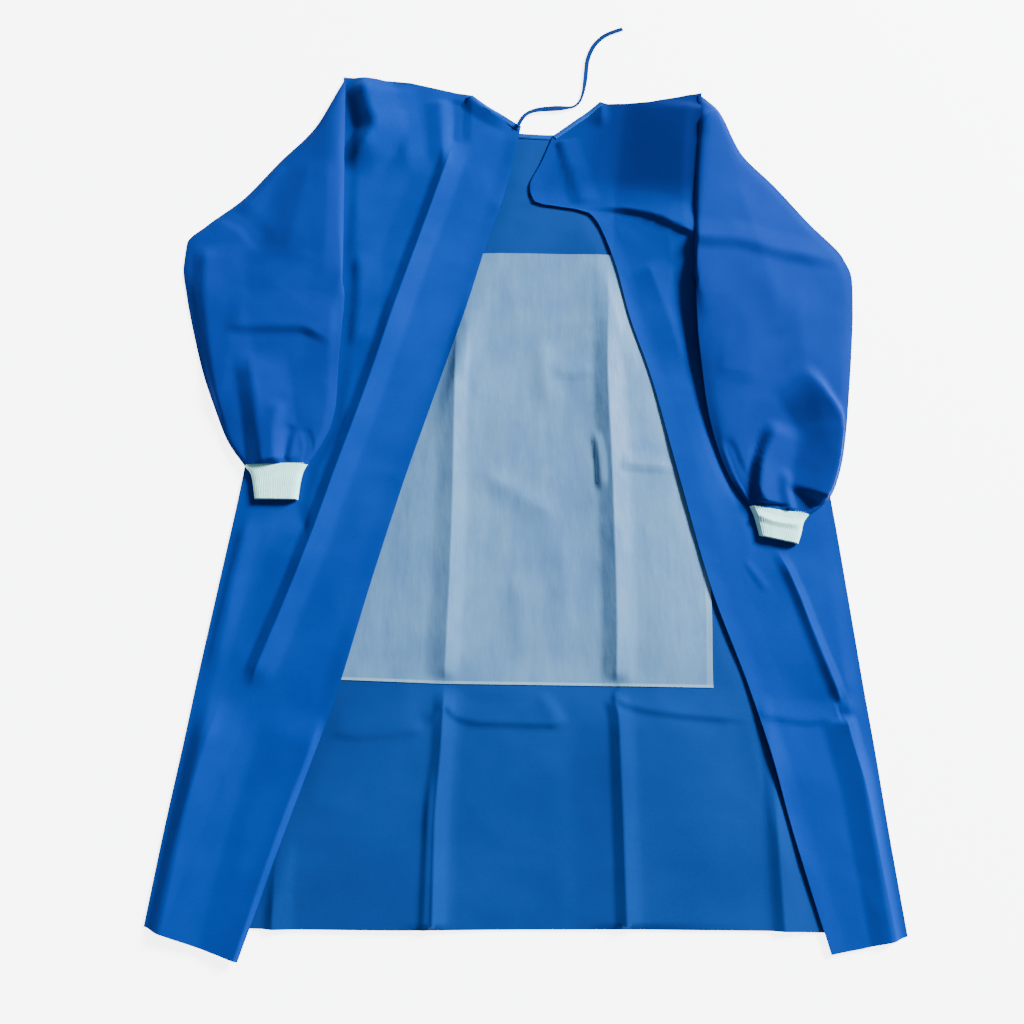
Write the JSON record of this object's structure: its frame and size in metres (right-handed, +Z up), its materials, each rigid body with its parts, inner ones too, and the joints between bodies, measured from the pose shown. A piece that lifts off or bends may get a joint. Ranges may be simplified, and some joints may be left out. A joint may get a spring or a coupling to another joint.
{
  "type": "surgical gown",
  "caption": "Blue nonwoven surgical gown laid flat on its front, open back upward, with a pale inner reinforcement patch and white knit cuffs.",
  "frame": {"origin": "middle of the laid gown's outline, on the surface that it rests on", "axes": "+X to the right of the laid gown as the picture shows it, +Y to the neck, +Z up from the surface"},
  "size_m": [0.98, 1.3537, 0.0222],
  "materials": {
    "nonwoven_blue": "matte",
    "patch_film": "satin",
    "knit_white": "matte",
    "binding_blue": "matte",
    "tie_navy": "matte"
  },
  "bodies": {
    "root": {"front_panel": "nonwoven_blue", "reinforcement_patch": "patch_film", "back_left": "nonwoven_blue", "back_right": "nonwoven_blue", "sleeve_left": "nonwoven_blue", "sleeve_right": "nonwoven_blue", "cuff_left": "knit_white", "cuff_right": "knit_white", "neck_binding_front": "binding_blue", "neck_binding_left": "binding_blue", "neck_binding_right": "binding_blue", "neck_tie": "tie_navy"}
  },
  "joints": []
}
